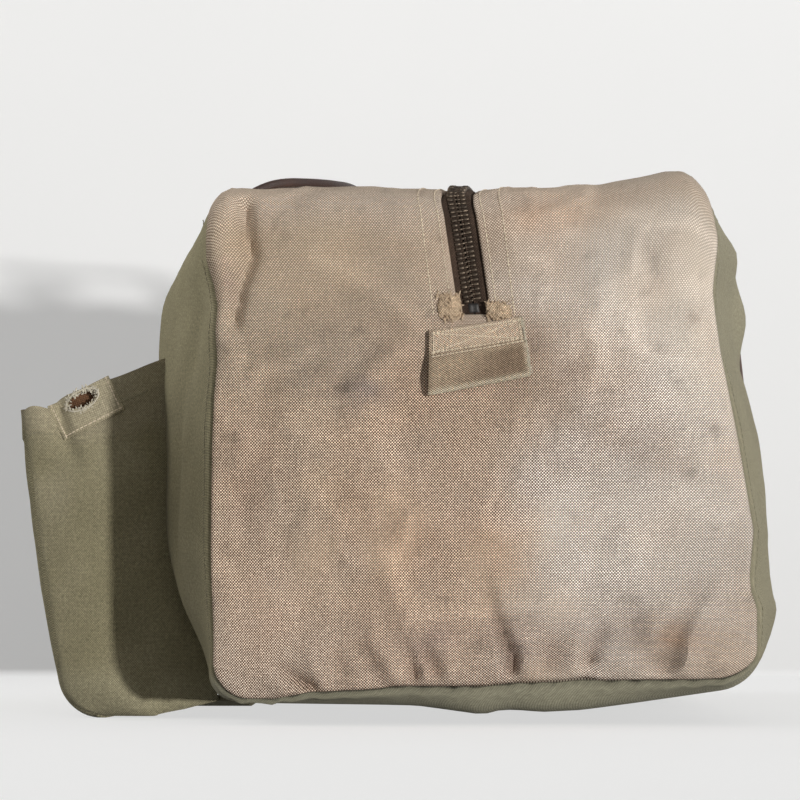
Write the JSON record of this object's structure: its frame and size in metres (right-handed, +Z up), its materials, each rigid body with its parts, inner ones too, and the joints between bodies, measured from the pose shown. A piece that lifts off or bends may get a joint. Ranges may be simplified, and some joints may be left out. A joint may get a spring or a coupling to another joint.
{
  "type": "canvas duffel bag",
  "caption": "Soft canvas duffel with a zipped top that runs down both ends, webbing pull tabs, leather grab handles on rings and an open box pocket on one long side.",
  "frame": {"origin": "centre of the flat underside the bag stands on", "axes": "+Z up, Y along the bag's length with the near end at -Y, pocket on -X"},
  "size_m": [0.3885, 0.5346, 0.3012],
  "materials": {
    "olive_canvas": "matt faded cotton duck",
    "tan_canvas": "matt faded cotton duck, stained",
    "zip_tape": "matt cotton tape",
    "zip_metal": "dull, darkened",
    "stop_metal": "dull grey",
    "webbing": "coarse cotton webbing, frayed",
    "leather": "satin dark brown",
    "ring_metal": "dull, darkened",
    "thread": "worn cotton thread"
  },
  "bodies": {
    "bag": {"body_wrap": "olive_canvas", "near_end_panel": "tan_canvas", "far_end_panel": "tan_canvas", "top_left_panel": "tan_canvas", "top_right_panel": "tan_canvas", "zip_tape_near": "zip_tape", "zip_tape_far": "zip_tape", "zip_teeth_near": "zip_metal", "zip_teeth_far": "zip_metal", "zip_stop_near": "stop_metal", "zip_stop_far": "stop_metal", "near_tab_patch": "webbing", "far_tab_patch": "webbing", "pocket_front": "olive_canvas", "pocket_near_end": "olive_canvas", "pocket_far_end": "olive_canvas", "near_eyelet_patch": "olive_canvas", "far_eyelet_patch": "olive_canvas", "near_eyelet_rim": "thread", "far_eyelet_rim": "thread", "left_chapes": "leather", "right_chapes": "leather", "left_rings": "ring_metal", "right_rings": "ring_metal"},
    "left_lip": {"left_lip": "tan_canvas", "zip_tape_left": "zip_tape", "zip_teeth_left": "zip_metal"},
    "right_lip": {"right_lip": "tan_canvas", "zip_tape_right": "zip_tape", "zip_teeth_right": "zip_metal"},
    "slider_front": {"slider_front": "zip_metal"},
    "pull_front": {"pull_front": "zip_metal"},
    "slider_rear": {"slider_rear": "zip_metal"},
    "pull_rear": {"pull_rear": "zip_metal"},
    "left_handle": {"left_handle": "leather"},
    "right_handle": {"right_handle": "leather"},
    "near_tab": {"near_tab_loop": "webbing"},
    "far_tab": {"far_tab_loop": "webbing"}
  },
  "joints": [
    {"name": "left_lip_fold", "type": "hinge", "parent": "bag", "child": "left_lip", "pos_m": [-0.04615, 0, 0.27], "axis": [0, -1, 0], "range_deg": [0, 80]},
    {"name": "right_lip_fold", "type": "hinge", "parent": "bag", "child": "right_lip", "pos_m": [0.04615, 0, 0.27], "axis": [0, 1, 0], "range_deg": [0, 80]},
    {"name": "slider_front_run", "type": "slide", "parent": "bag", "child": "slider_front", "axis": [0, 1, 0], "range_m": [-0.374, 0]},
    {"name": "pull_front_flip", "type": "hinge", "parent": "slider_front", "child": "pull_front", "pos_m": [0, 0.149, 0.2731], "axis": [1, 0, 0], "range_deg": [0, 95]},
    {"name": "slider_rear_run", "type": "slide", "parent": "bag", "child": "slider_rear", "axis": [0, 1, 0], "range_m": [0, 0.025]},
    {"name": "pull_rear_flip", "type": "hinge", "parent": "slider_rear", "child": "pull_rear", "pos_m": [0, 0.191, 0.2731], "axis": [1, 0, 0], "range_deg": [0, 95]},
    {"name": "left_handle_swing", "type": "hinge", "parent": "bag", "child": "left_handle", "pos_m": [-0.15832, 0, 0.2318], "axis": [0, -1, 0], "range_deg": [0, 140]},
    {"name": "right_handle_swing", "type": "hinge", "parent": "bag", "child": "right_handle", "pos_m": [0.14462, 0, 0.2318], "axis": [0, 1, 0], "range_deg": [0, 140]},
    {"name": "near_tab_lift", "type": "hinge", "parent": "bag", "child": "near_tab", "pos_m": [0, -0.2651, 0.18785], "axis": [-1, 0, 0], "range_deg": [0, 80]},
    {"name": "far_tab_lift", "type": "hinge", "parent": "bag", "child": "far_tab", "pos_m": [0, 0.2651, 0.18785], "axis": [1, 0, 0], "range_deg": [0, 80]}
  ]
}
